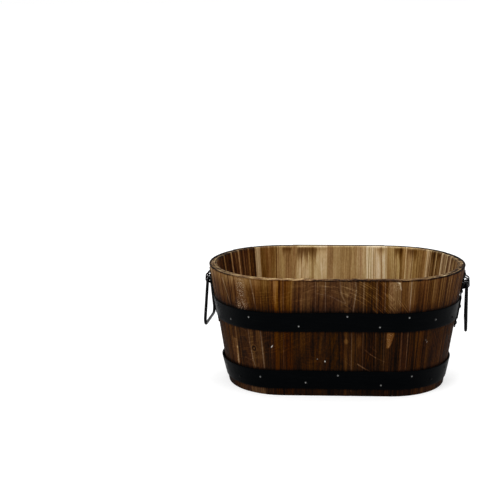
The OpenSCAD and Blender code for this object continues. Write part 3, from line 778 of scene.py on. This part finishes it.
def staveLook(at, rng, settings):
    # What the wood's material reads, blended from the outer face to the inner one and to the rim
    outer, outerWarm, drop = outerTones(at)
    inner, innerWarm = innerTones(at, settings["innerPaintedLight"])
    lineShare, hueShift = readStrips(at.outer, outerLineShares, 4)
    innerShare, innerHue = readStrips(at.inner, innerLineShares, 4)
    rim = rimTones(at, inner, settings["rimTone"] + rng.uniform(-0.06, 0.06))
    tone = blend(blend(outer, inner, at.inside), rim, at.onRim)
    warm = blend(blend(outerWarm, innerWarm, at.inside), -0.06 - 0.10 * at.ends, at.onRim)
    hueShift = blend(hueShift, innerHue, at.inside) - 0.008 * drop
    # The outer arris is charred, all round behind and more to the right in front
    charred = 0.62 + 0.2 * waves(at.across, at.along, 500 + at.index, 0.02, 0.02)
    arris = between(at.t, 196.6, 197.6, 199.3, 199.9) * (1 - at.inside)
    arris = arris * np.maximum(at.behind, 0.30 + 0.55 * ease(at.outer, -100, -10))
    tone = tone * (1 - np.clip(charred, 0, 0.85) * arris)
    inGroove = (at.depth > 13 * mm) | ((at.t < 30) & (at.depth > 3 * mm))
    tone = np.where(inGroove, 0.40, tone) + 0.02 * waves(at.across, at.along, 150 + at.index, 0.02, 0.07)
    rough = np.zeros_like(tone)
    for s0, t0, halfWidth, halfHeight, strength in roughPlaces:
        away = np.hypot((at.outer - s0) / halfWidth, (at.t - t0) / halfHeight)
        rough = np.maximum(rough, strength * (1 - ease(away, 0.5, 1.3)))
    chip = np.max([spotShare(at.outer, at.t, spot) for spot in chips], axis=0) * (1 - at.inside)
    scuffOut, scuffRound, scuffed = scuffFields(at)
    return {
        "rings": growthRings(at, rng), "tone": tone, "warm": warm, "scorch": scorchDepths(at),
        "rough": np.maximum(rough, 0.35 * drop) * (1 - at.inside) * (1 - at.onRim), "chip": chip,
        "scuffOut": scuffOut, "scuffRound": scuffRound, "scuffed": scuffed,
        "hueShift": blend(hueShift, 0.005 + 0.009 * at.ends, at.onRim),
        "lineShare": blend(lineShare, innerShare, at.inside) * (1 - at.onRim),
        "nothing": np.zeros_like(tone),
    }


def endCaps(rows, columns):
    # The first and the last row of a grid that is closed across, as faces
    return [np.arange(columns), ((rows - 1) * columns + np.arange(columns))[::-1]]


def makeStave(half, k, settings):
    index = half * len(tub["staveWidths"]) + k
    rng = np.random.default_rng(100 + index)
    start = jointAt(k) + settings["jointGap"] / 2
    end = jointAt(k + 1) - settings["jointGap"] / 2
    s = staveColumns(start, end, half, settings)
    # The section, drawn in along the board's two rounded long edges
    rounding = settings["edgeRounding"]
    fromEdge = np.clip(np.minimum(s - start, end - s), 0, rounding)
    shrink = rounding - np.sqrt(np.maximum(rounding ** 2 - (rounding - fromEdge) ** 2, 0))
    outline = staveOutline(settings)
    section = outline[None] - outlineNormals(outline)[None] * shrink[:, None, None]
    radius, height = section[..., 0], section[..., 1]
    column = np.broadcast_to(s[:, None], radius.shape)
    depth = outerRadius(height) - radius
    along = height / math.cos(lean)
    across = column - (start + end) / 2
    # The faces are worn by hand tools: a little hollow and uneven, always inwards
    outerFace = np.clip(1 - depth / (3 * mm), 0, 1)
    hollow = settings["unevenFace"] * (0.5 + 0.5 * waves(across, along, index, 0.03, 0.12))
    radius = radius - outerFace * np.clip(hollow, 0, None)
    onTop = np.clip((height - tub["height"] + 4 * mm) / (4 * mm), 0, 1)
    height = height - onTop * rng.uniform(0, settings["unevenTop"])
    points = roundTheOval(column, radius, height)
    if half:
        points[..., :2] *= -1

    # Where each point is: places and heights in mm, outside from the front's middle and inside from
    # the back's, and 0 to 1 for the inner face, the rim, the tub's back and its ends
    t = section[..., 1] / mm
    at = SimpleNamespace(
        index=index, across=across, along=along, depth=depth, t=t,
        outer=column / mm - (halfRim / mm if half else 0),
        inner=column / mm - (0 if half else halfRim / mm),
        bend=0.9 * waves(across, along, 300 + index, 0.05, 0.10),
        inside=ease(depth, 2.5 * mm, 6 * mm),
        onRim=ease(t, 198.4, 199.6),
        behind=ease(points[..., 1], -0.03, 0.05),
        ends=ease(np.abs(points[..., 0]), 0.11, 0.19),
    )
    look = staveLook(at, rng, settings)
    wobble = 0.7 * mm * waves(across, along, 200 + index, 0.06, 0.11)
    board = np.stack([across + wobble + index * 0.31, depth, along + index * 0.17], axis=-1)
    attributes = {"board": board.reshape(-1, 3)}
    for name, parts in staveParts.items():
        attributes[name] = np.stack([look[part] for part in parts], axis=-1).reshape(-1, 3)
    rows, columns = radius.shape
    piece = makePiece(
        "staveWood%02d" % (index + 1), points.reshape(-1, 3), gridFaces(rows, columns, closeColumns=True),
        woodMaterial, endCaps(rows, columns), attributes,
    )
    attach(piece, "tub")
    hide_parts("stave_%02d" % (index + 1))


for half in (0, 1):
    for k in range(len(tub["staveWidths"])):
        makeStave(half, k, staves)
print("staves made")

# Rolled steel strip under satin black paint: it is nearly black, a little rubbed in thin streaks,
# and turns lighter only where it is seen at a slant
paint = {
    "colour": "#010203",
    "worn": "#0b0c0d",
    "roughness": 0.40,
    "specular": 0.013,
    "scratch": (0.8, 30),  # mm
    "dent": 26,
    "peel": 1.6,
    "bump": 0.12,
}
# Round bar and pressed straps under gloss black enamel
enamel = dict(paint, colour="#030303", worn="#0e0e0e", roughness=0.20, specular=0.06, dent=12, bump=0.06)


def makePaint(name, settings):
    material, add = newMaterial(name)
    place = add("TexCoord")
    fine, long = settings["scratch"]
    sizes = {"rubbed": (long, long, fine), "dents": (settings["dent"],) * 3, "peel": (settings["peel"],) * 3}
    noise = {}
    for (key, size), detail in zip(sizes.items(), (3.0, 2.0, 1.0)):
        scale = tuple(1 / (length * mm) for length in size)
        stretched = add("Mapping", {0: (place, "Object"), "Scale": scale})
        noise[key] = add("TexNoise", {"Vector": stretched, "Scale": 1.0, "Detail": detail})
    amount = add("MapRange", noise["rubbed"], 0.52, 0.80, 0.0, 0.6)
    colours = [linear(settings[key]) for key in ("colour", "worn")]
    colour = add("Mix", {0: amount, 6: colours[0], 7: colours[1]}, data_type="RGBA")
    smooth, rough = settings["roughness"] - 0.05, settings["roughness"] + 0.08
    gloss = add("MapRange", noise["dents"], 0.3, 0.7, smooth, rough)
    height = addUp(add, noise["dents"], (noise["peel"], 0.12))
    bump = add("Bump", {"Height": height, "Distance": settings["bump"] * mm, "Strength": 1.0})
    shader = add("BsdfPrincipled", {
        "Base Color": (colour, 2), "Roughness": gloss, "Normal": bump,
        "Specular IOR Level": settings["specular"],
    })
    add("OutputMaterial", shader)
    return material


paintMaterial = makePaint("satin_black_paint", paint)
enamelMaterial = makePaint("gloss_black_enamel", enamel)

hoops = {
    "width": 32 * mm,
    "thickness": 1.4 * mm,
    "fit": 0.1 * mm,
    "edge": 0.5 * mm,
    "step": 1.5 * mm,
    "lap": 44 * mm,
    "lapRivets": 24 * mm,
    "lapBevel": 0.3 * mm,
    "bulge": 0.25 * mm,
    "sway": 0.6 * mm,
    # The stand-off is given at the right and the left end, and the seed moves bulge and sway round
    "upper": {"low": wallLength - 88 * mm, "lapAt": -14 * mm, "standOff": (0.0, 0.0), "seed": 0.7},
    "lower": {"low": 13 * mm, "lapAt": 40 * mm, "standOff": (1.6 * mm, 3.2 * mm), "seed": 2.1},
}


def standOff(s, share, ends):
    # How far a strip stands off the wood: most at its upper edge and in the middle of the tub's ends
    swing = np.sin(s / (2 * halfRim) * math.tau)
    off = ends[0] * np.clip(swing, 0, 1) ** 4 + ends[1] * np.clip(-swing, 0, 1) ** 4
    return off * (0.15 + 0.85 * share)


def stripSection(settings, inner):
    # Closed outline of the strip as (off the wall, up its width), counterclockwise
    edge, width, outer = settings["edge"], settings["width"], inner + settings["thickness"]
    corners = [(inner, 0), (outer, 0), (outer, width), (inner, width)]
    steps = [1 * mm, 2.5 * mm, 1 * mm, 4 * mm]
    return roundedOutline(corners, [0.2 * mm, edge, edge, 0.2 * mm], steps, 3)


def hoopPoints(s, section, own, settings):
    # The section carried along the wall: s runs on from the first half of the rim into the second
    half = (s + halfRun) // halfRim
    within = s - half * halfRim
    seed = own["seed"]
    turn = s[:, None] / (2 * halfRim) * math.tau
    bulge = settings["bulge"] * (0.5 + 0.5 * np.sin(9 * turn + seed) * np.sin(4 * turn + 2 * seed))
    sway = settings["sway"] * (np.sin(3 * turn + seed) + 0.6 * np.sin(7 * turn + 2 * seed)) / 1.6
    away = standOff(s[:, None], section[:, 1][None] / settings["width"], own["standOff"])
    n = section[:, 0][None] + bulge + away
    u = section[:, 1][None] + own["low"] + sway
    radius, height = offWall(n, u)
    points = roundTheOval(np.broadcast_to(within[:, None], radius.shape), radius, height)
    points[..., :2] *= (1 - 2 * (half % 2))[:, None, None]
    return points


def makeHoop(name, node, own, settings):
    count = math.ceil(2 * halfRim / settings["step"])
    s = -halfRun + np.arange(count) * (2 * halfRim / count)
    section = stripSection(settings, settings["fit"])
    points = hoopPoints(s, section, own, settings)
    quads = gridFaces(len(s), len(section), closeRows=True, closeColumns=True)
    hoop = makePiece(name, points.reshape(-1, 3), quads, paintMaterial)
    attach(hoop, "tub")
    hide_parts(node)
    # The lapped end lies on the hoop at the back
    s = halfRim + own["lapAt"] + np.linspace(-settings["lap"] / 2, settings["lap"] / 2, 30)
    section = stripSection(settings, settings["fit"] + settings["thickness"])
    points = hoopPoints(s, section, own, settings)
    quads = gridFaces(len(s), len(section), closeColumns=True)
    caps = endCaps(len(s), len(section))
    lap = makePiece(name + "Lap", points.reshape(-1, 3), quads, paintMaterial, caps)
    bevelEdges(lap, "roundedEnds", settings["lapBevel"], 60)
    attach(lap, "tub")


def bevelEdges(piece, name, width, angle):
    bevel = piece.modifiers.new(name, "BEVEL")
    bevel.width = width
    bevel.segments = 2
    bevel.limit_method = "ANGLE"
    bevel.angle_limit = math.radians(angle)
    return bevel


for word in ("upper", "lower"):
    makeHoop(word + "Hoop", word + "_hoop", hoops[word], hoops)
print("hoops made")

# Galvanised nail heads, dulled and half painted over: bright only at the crown
zinc = {"crown": "#868684", "rim": "#0b0b0b", "roughness": 0.45}
bareZinc = {"crown": "#b4b4b1", "rim": "#7e7d79", "roughness": 0.38}
headPaint = {"crown": "#0a0a0a", "rim": "#050505", "roughness": 0.30}


def makeHeads(name, settings, metallic):
    # The polar attribute: X runs from 0 at the crown to 1 at the head's edge, and Y is how much of
    # the head is painted over, which takes away the metal and its shine; a part cover is painted shade that
    # dims the nail
    material, add = newMaterial(name)
    parts = add("SeparateXYZ", (add("Attribute", attribute_name="polar"), "Vector"))
    place = (add("TexCoord"), "Object")
    grit = add("TexNoise", {"Vector": place, "Scale": 1400.0, "Detail": 2.0})  # 0.7 mm
    edge = addUp(add, (parts, "X"), (grit, 0.5), ((parts, "Y"), 0.7))
    share = add("MapRange", edge, 0.50, 0.90, 0.0, 1.0)
    colours = [linear(settings[key]) for key in ("crown", "rim")]
    colour = add("Mix", {0: share, 6: colours[0], 7: colours[1]}, data_type="RGBA")
    bump = add("Bump", {"Height": grit, "Distance": 0.06 * mm, "Strength": 1.0})
    bare = add("MapRange", (parts, "Y"), 0.3, 1.0, metallic, 0.0)
    shine = add("MapRange", (parts, "Y"), 0.3, 1.0, 0.5, 0.03)
    shader = add("BsdfPrincipled", {
        "Base Color": (colour, 2), "Roughness": settings["roughness"], "Metallic": bare,
        "Specular IOR Level": shine, "Normal": bump,
    })
    add("OutputMaterial", shader)
    return material


zincMaterial = makeHeads("dulled_zinc", zinc, 0.6)
bareZincMaterial = makeHeads("zinc", bareZinc, 0.9)
blackHeadMaterial = makeHeads("painted_head", headPaint, 0.0)

heads = {
    "seat": 0.12 * mm,  # a head's edge over what it holds
    "nail": (2.1 * mm, 1.2 * mm),  # radius and height
    "rivet": (3.6 * mm, 1.8 * mm),
    "screw": (3.3 * mm, 2.2 * mm),
}
# Which stave, how far across it, how far up the hoop and how much painted over: the nails of half
# the rim. A full cover paints a nail over, and a part cover is painted shade that dims it
upperNails = [
    (0, 0.48, 0.30, 0), (1, 0.89, 0.84, 0), (2, 0.85, 0.28, 0), (4, 0.30, 0.78, 0), (5, 0.44, 0.50, 0.25),
    (6, 0.50, 0.27, 1), (8, 0.45, 0.72, 0.5), (9, 0.26, 0.32, 0.3), (9, 0.93, 0.66, 0),
]
lowerNails = [
    (0, 0.69, 0.37, 0), (1, 0.64, 0.78, 0.1), (2, 0.92, 0.26, 0.1), (4, 0.58, 0.72, 0.1), (5, 0.72, 0.35, 1),
    (6, 0.66, 0.66, 0.6), (7, 0.56, 0.38, 0), (8, 0.55, 0.70, 0), (9, 0.32, 0.33, 1), (10, 0.17, 0.60, 0.1),
]


def wallFrame(s, u, n, half):
    # Place on the wall, and the directions out of it, along the rim and up it
    angle = min(max((s - halfRun) / tub["rimRadius"], 0), math.pi)
    place = roundTheOval(np.array(s), *[np.array(v) for v in offWall(n, u)])
    out = np.array([math.sin(angle) * math.cos(lean), -math.cos(angle) * math.cos(lean), -math.sin(lean)])
    along = np.array([math.cos(angle), math.sin(angle), 0])
    up = np.cross(out, along) * -1
    turn = np.array([-1, -1, 1]) if half else np.ones(3)
    return place * turn, out * turn, along * turn, up * turn


def makeDomes(name, node, frames, size, material):
    # A domed head turned round its axis: its height falls with the distance to the power 2.4, then
    # it runs down to its edge and closes behind
    radius, height = size
    crown = np.linspace(0.12, 0.92, 8)
    share = np.concatenate([crown, [1.0, 1.0, 0.3]])
    lift = np.concatenate([1 - 0.72 * crown ** 2.4, [0.26, -0.02, -0.02]])
    polar = np.concatenate([crown, [1.0, 1.1, 1.1]])
    turn = np.linspace(0, math.tau, 20, endpoint=False)
    points, quads, caps = [], [], []
    count = len(share) * len(turn)
    ring = np.arange(len(turn))
    for i, (place, out, along, up, _) in enumerate(frames):
        flat = radius * share[:, None]
        around = np.cos(turn)[None, :, None] * along + np.sin(turn)[None, :, None] * up
        points.append(place + flat[..., None] * around + height * lift[:, None, None] * out)
        quads.append(gridFaces(len(share), len(turn), closeColumns=True)[:, ::-1] + i * count)
        caps += [ring[::-1] + i * count, ring + (i + 1) * count - len(turn)]
    points = np.concatenate([p.reshape(-1, 3) for p in points])
    side = np.tile(np.repeat(polar, len(turn)), len(frames))
    coverAndShade = np.repeat([frame[-1] for frame in frames], count)
    values = np.stack([side, coverAndShade, side * 0], axis=-1)
    piece = makePiece(name, points, np.concatenate(quads), material, caps, {"polar": values})
    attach(piece, "tub")
    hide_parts(node)


def nailFrames(nails, own, settings):
    skin = settings["fit"] + settings["thickness"] + heads["seat"]
    frames = []
    for half in (0, 1):
        for k, a, b, coverAndShade in nails:
            s = jointAt(k) + a * (jointAt(k + 1) - jointAt(k))
            away = standOff(s + half * halfRim, b, own["standOff"])
            frames.append((*wallFrame(s, own["low"] + b * settings["width"], skin + away, half), coverAndShade))
    return frames


def lapFrames(own, settings):
    skin = settings["fit"] + 2 * settings["thickness"] + heads["seat"]
    places = [own["lapAt"] + side * settings["lapRivets"] / 2 for side in (-1, 1)]
    return [(*wallFrame(s, own["low"] + settings["width"] / 2, skin, 1), 0) for s in places]


for word, nails in (("upper", upperNails), ("lower", lowerNails)):
    frames = nailFrames(nails, hoops[word], hoops)
    makeDomes(word + "HoopNails", word + "_hoop_nails", frames, heads["nail"], zincMaterial)
for word in ("upper", "lower"):
    frames = lapFrames(hoops[word], hoops)
    makeDomes(
        word + "LapRivets", word + "_lap_rivets", frames, heads["rivet"], blackHeadMaterial
    )
print("nails and rivets made")

handles = {
    "pivotUp": wallLength - 32 * mm,
    "pivotOff": 7.5 * mm,
    "shoulder": 13.805 * mm,  # where the axle's and the leg's lines meet
    "grip": 43.616 * mm,  # where the grip's and the leg's lines meet
    "drop": 70 * mm,
    "shoulderBend": 5 * mm,
    "gripBend": 9 * mm,
    "rod": 2.5 * mm,
    "strapSkin": 2.1 * mm,
    "strapStep": 4 * mm,  # from the hoop's edge to where the strap lies on the wood again
    "hoopScrewOff": 1.5 * mm,  # the strap runs over the hoop here
    "topScrewUp": 184.39 * mm,
    "strapBelow": 18 * mm,
    "screwMargin": 2 * mm,
    "seat": 0.05 * mm,
}


def handleTurned(points, side):
    # From the handle's own plane to the tub's end: x out of the tub, turned a little, then across
    turn = math.radians(-tub["handleTurn"])
    x = points[..., 0] * math.cos(turn) - points[..., 1] * math.sin(turn) + halfRun
    y = points[..., 0] * math.sin(turn) + points[..., 1] * math.cos(turn)
    sign = -1 if side else 1
    return np.stack([sign * x, sign * y, points[..., 2]], axis=-1)


def makeBail(name, node, body, side, settings):
    # A round rod carried along the closed loop: circles square to the path, in and across its plane
    shoulder, grip, drop = settings["shoulder"], settings["grip"], settings["drop"]
    corners = [(-shoulder, 0), (-grip, -drop), (grip, -drop), (shoulder, 0)]
    bends = [settings["shoulderBend"], settings["gripBend"], settings["gripBend"], settings["shoulderBend"]]
    path = roundedOutline(corners, bends, [2 * mm] * 4, 12)
    normals = outlineNormals(path)
    turn = np.linspace(0, math.tau, 18, endpoint=False)
    y = path[:, 0, None] + settings["rod"] * np.cos(turn) * normals[:, 0, None]
    z = path[:, 1, None] + settings["rod"] * np.cos(turn) * normals[:, 1, None]
    x = settings["rod"] * np.sin(turn) + 0 * y
    radius, height = offWall(settings["pivotOff"], settings["pivotUp"])
    points = handleTurned(np.stack([x + radius, y, z + height], axis=-1), side)
    quads = gridFaces(len(path), len(turn), closeRows=True, closeColumns=True)
    piece = makePiece(name, points.reshape(-1, 3), quads, enamelMaterial)
    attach(piece, body)
    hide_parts(node)


def screwFrames(side, settings):
    # The strap's four screws: place, and the directions out of the wall, along it and up it
    low, inset = hoops["upper"]["low"], settings["screwMargin"] + heads["screw"][0]
    places = [
        (settings["topScrewUp"], 0), (low + hoops["width"] + settings["strapStep"] + inset, 0),
        (low + hoops["width"] / 2, settings["hoopScrewOff"]), (low - settings["strapBelow"] + inset, 0),
    ]
    tips = np.array([
        (math.cos(lean), 0, -math.sin(lean)), (0, -1, 0), (math.sin(lean), 0, math.cos(lean)),
    ])
    frames = []
    for u, off in places:
        radius, height = offWall(settings["strapSkin"] + off + settings["seat"], u)
        place = np.array([radius, 0, height])
        origin = handleTurned(place, side)
        frames.append((origin, *(handleTurned(place + tips, side) - origin), 0))
    return frames


def bevelledCopy(name, node, width, material):
    # A copy of a CAD node with its loose triangles merged into flat faces, so that it takes a bevel
    mesh = frame["nodes"][node].data.copy()
    work = bmesh.new()
    work.from_mesh(mesh)
    bmesh.ops.remove_doubles(work, verts=work.verts, dist=1e-6)
    bmesh.ops.dissolve_limit(work, angle_limit=math.radians(0.6), verts=work.verts, edges=work.edges)
    work.to_mesh(mesh)
    work.free()
    mesh.polygons.foreach_set("use_smooth", np.ones(len(mesh.polygons), bool))
    mesh.materials.clear()
    mesh.materials.append(material)
    piece = bpy.data.objects.new(name, mesh)
    bpy.context.scene.collection.objects.link(piece)
    bevelEdges(piece, "softEdges", width, 30).harden_normals = True
    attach(piece, "tub")
    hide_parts(node)


for side, word in enumerate(("right", "left")):
    makeBail(word + "Bail", "bail_" + word, word + "_bail", side, handles)
    bevelledCopy(word + "Strap", "strap_" + word, 0.35 * mm, enamelMaterial)
    frames = screwFrames(side, handles)
    name = word + "StrapScrews"
    makeDomes(name, "strap_screws_" + word, frames, heads["screw"], blackHeadMaterial)
print("handles made")

# The base boards run along the tub, the battens across it, and both are bare sawn fir
boards = {"front": (0.36, (38, -22)), "middle": (0.54, (-14, -30)), "back": (0.44, (60, 26))}
battenMaterial = makeWood("bare_fir_across", dict(bareWood, pith=(20, 30)), (math.pi / 2, 0, 0))
for word, (tone, pith) in boards.items():
    boardMaterial = makeWood("bare_fir_" + word, dict(bareWood, tone=tone, pith=pith), (0, -math.pi / 2, 0))
    bevelledCopy("baseBoard" + word.title(), "base_board_" + word, 0.9 * mm, boardMaterial)
for word in ("left", "right"):
    bevelledCopy("batten" + word.title(), "batten_" + word, 0.6 * mm, battenMaterial)
tacks = frame["nodes"]["batten_nails"]
tacks.data.materials.clear()
tacks.data.materials.append(bareZincMaterial)
print("base made")

# Floor and light
stage = {
    "floorSize": 60.0,
    "floorColour": "#cfcfcf",
    "glowNear": 0.54,
    "glowFar": 0.75,
    "skyOnObject": 0.48,
    "aim": (0, 0, 0.1),
    "lamps": {  # place, size, watts
        "keyLamp": ((-1.1, -1.6, 1.9), (1.4, 1.0), 32),
        "fillLamp": ((1.6, -1.2, 1.3), (1.2, 1.2), 11),
        "topLamp": ((0.2, 0.4, 2.2), (1.6, 1.6), 26),
    },
}


def whenSeen(add):
    # 1 for rays from the camera, and for those that metal and glass send on; otherwise 0
    path = add("LightPath")
    seen = add("Math", (path, "Is Camera Ray"), (path, "Is Glossy Ray"), operation="MAXIMUM")
    return add("Math", seen, (path, "Is Transmission Ray"), operation="MAXIMUM")


def makeFloor(settings):
    material, add = newMaterial("pale_floor")
    away = add("VectorMath", (add("TexCoord"), "Object"), operation="LENGTH")
    glow = add("MapRange", (away, "Value"), 0.6, 3.0, settings["glowNear"], settings["glowFar"])
    strength = add("Math", whenSeen(add), glow, operation="MULTIPLY")
    matt = add("BsdfDiffuse", {"Color": linear(settings["floorColour"])})
    lit = add("Emission", {"Color": (1, 1, 1, 1), "Strength": strength})
    add("OutputMaterial", add("AddShader", matt, lit))
    size = settings["floorSize"] / 2
    points = np.array([(-size, -size, 0), (size, -size, 0), (size, size, 0), (-size, size, 0)])
    makePiece("floor", points, np.array([[0, 1, 2, 3]]), material)


def makeWorld(settings):
    world = bpy.data.worlds.new("studio")
    world.use_nodes = True
    world.node_tree.nodes.clear()
    add = partial(addNode, world.node_tree)
    strength = add("MapRange", whenSeen(add), 0.0, 1.0, settings["skyOnObject"], 1.0)
    add("OutputWorld", add("Background", {"Color": (1, 1, 1, 1), "Strength": strength}))
    bpy.context.scene.world = world


def makeLamp(name, place, aim, size, watts):
    data = bpy.data.lights.new(name, "AREA")
    data.shape = "RECTANGLE"
    data.size, data.size_y = size
    data.energy = watts
    lamp = bpy.data.objects.new(name, data)
    turn = (Vector(place) - Vector(aim)).to_track_quat("Z", "Y")
    lamp.matrix_world = Matrix.Translation(place) @ turn.to_matrix().to_4x4()
    bpy.context.scene.collection.objects.link(lamp)


makeFloor(stage)
makeWorld(stage)
for name, (place, size, watts) in stage["lamps"].items():
    makeLamp(name, place, stage["aim"], size, watts)
print("floor and light made")
